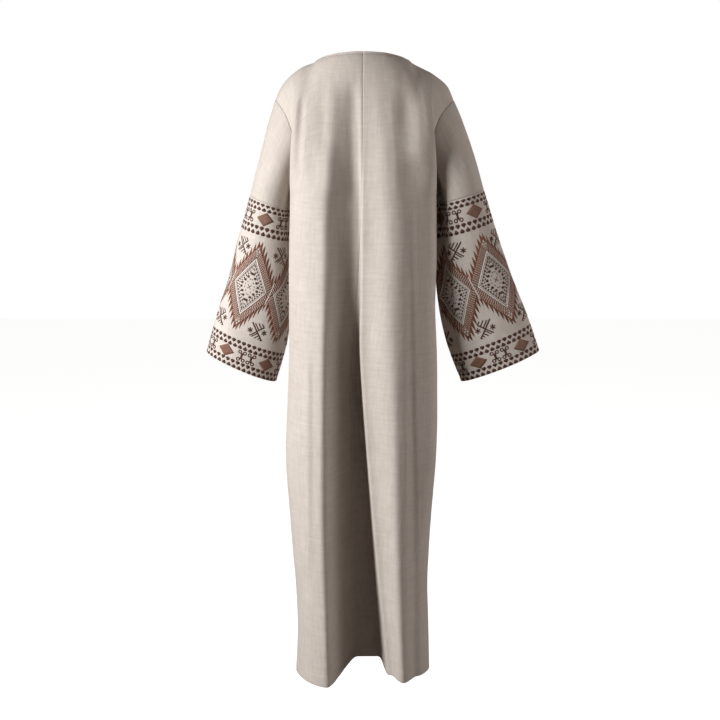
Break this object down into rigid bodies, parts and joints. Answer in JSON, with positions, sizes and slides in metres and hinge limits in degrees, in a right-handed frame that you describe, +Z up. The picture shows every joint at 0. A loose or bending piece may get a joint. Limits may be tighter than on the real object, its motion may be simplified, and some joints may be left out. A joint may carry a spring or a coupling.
{
  "type": "abaya cloak",
  "caption": "Long open-front abaya cloak with a collarless rounded neckline and wide sleeves whose lower halves are embroidered panels.",
  "frame": {"origin": "top of the neckline binding at the nape, on the middle of the garment, where the cloak rests on the wearer's neck and shoulders", "axes": "+Z up; -Y is the back of the cloak, +Y its open front; +X is the wearer's right side"},
  "size_m": [0.7618, 0.3191, 1.4161],
  "materials": {
    "back_left": "matt greige linen-look weave",
    "back_right": "matt greige linen-look weave",
    "front_left": "matt greige linen-look weave",
    "front_right": "matt greige linen-look weave",
    "sleeve_upper_left": "matt greige linen-look weave",
    "sleeve_upper_right": "matt greige linen-look weave",
    "sleeve_lower_left": "cream woven cloth with brown geometric embroidery",
    "sleeve_lower_right": "cream woven cloth with brown geometric embroidery",
    "neck_binding": "matt greige linen-look weave"
  },
  "bodies": {
    "root": {"back_left": "back_left", "back_right": "back_right", "front_left": "front_left", "front_right": "front_right", "sleeve_upper_left": "sleeve_upper_left", "sleeve_upper_right": "sleeve_upper_right", "sleeve_lower_left": "sleeve_lower_left", "sleeve_lower_right": "sleeve_lower_right", "neck_binding": "neck_binding"}
  },
  "joints": []
}
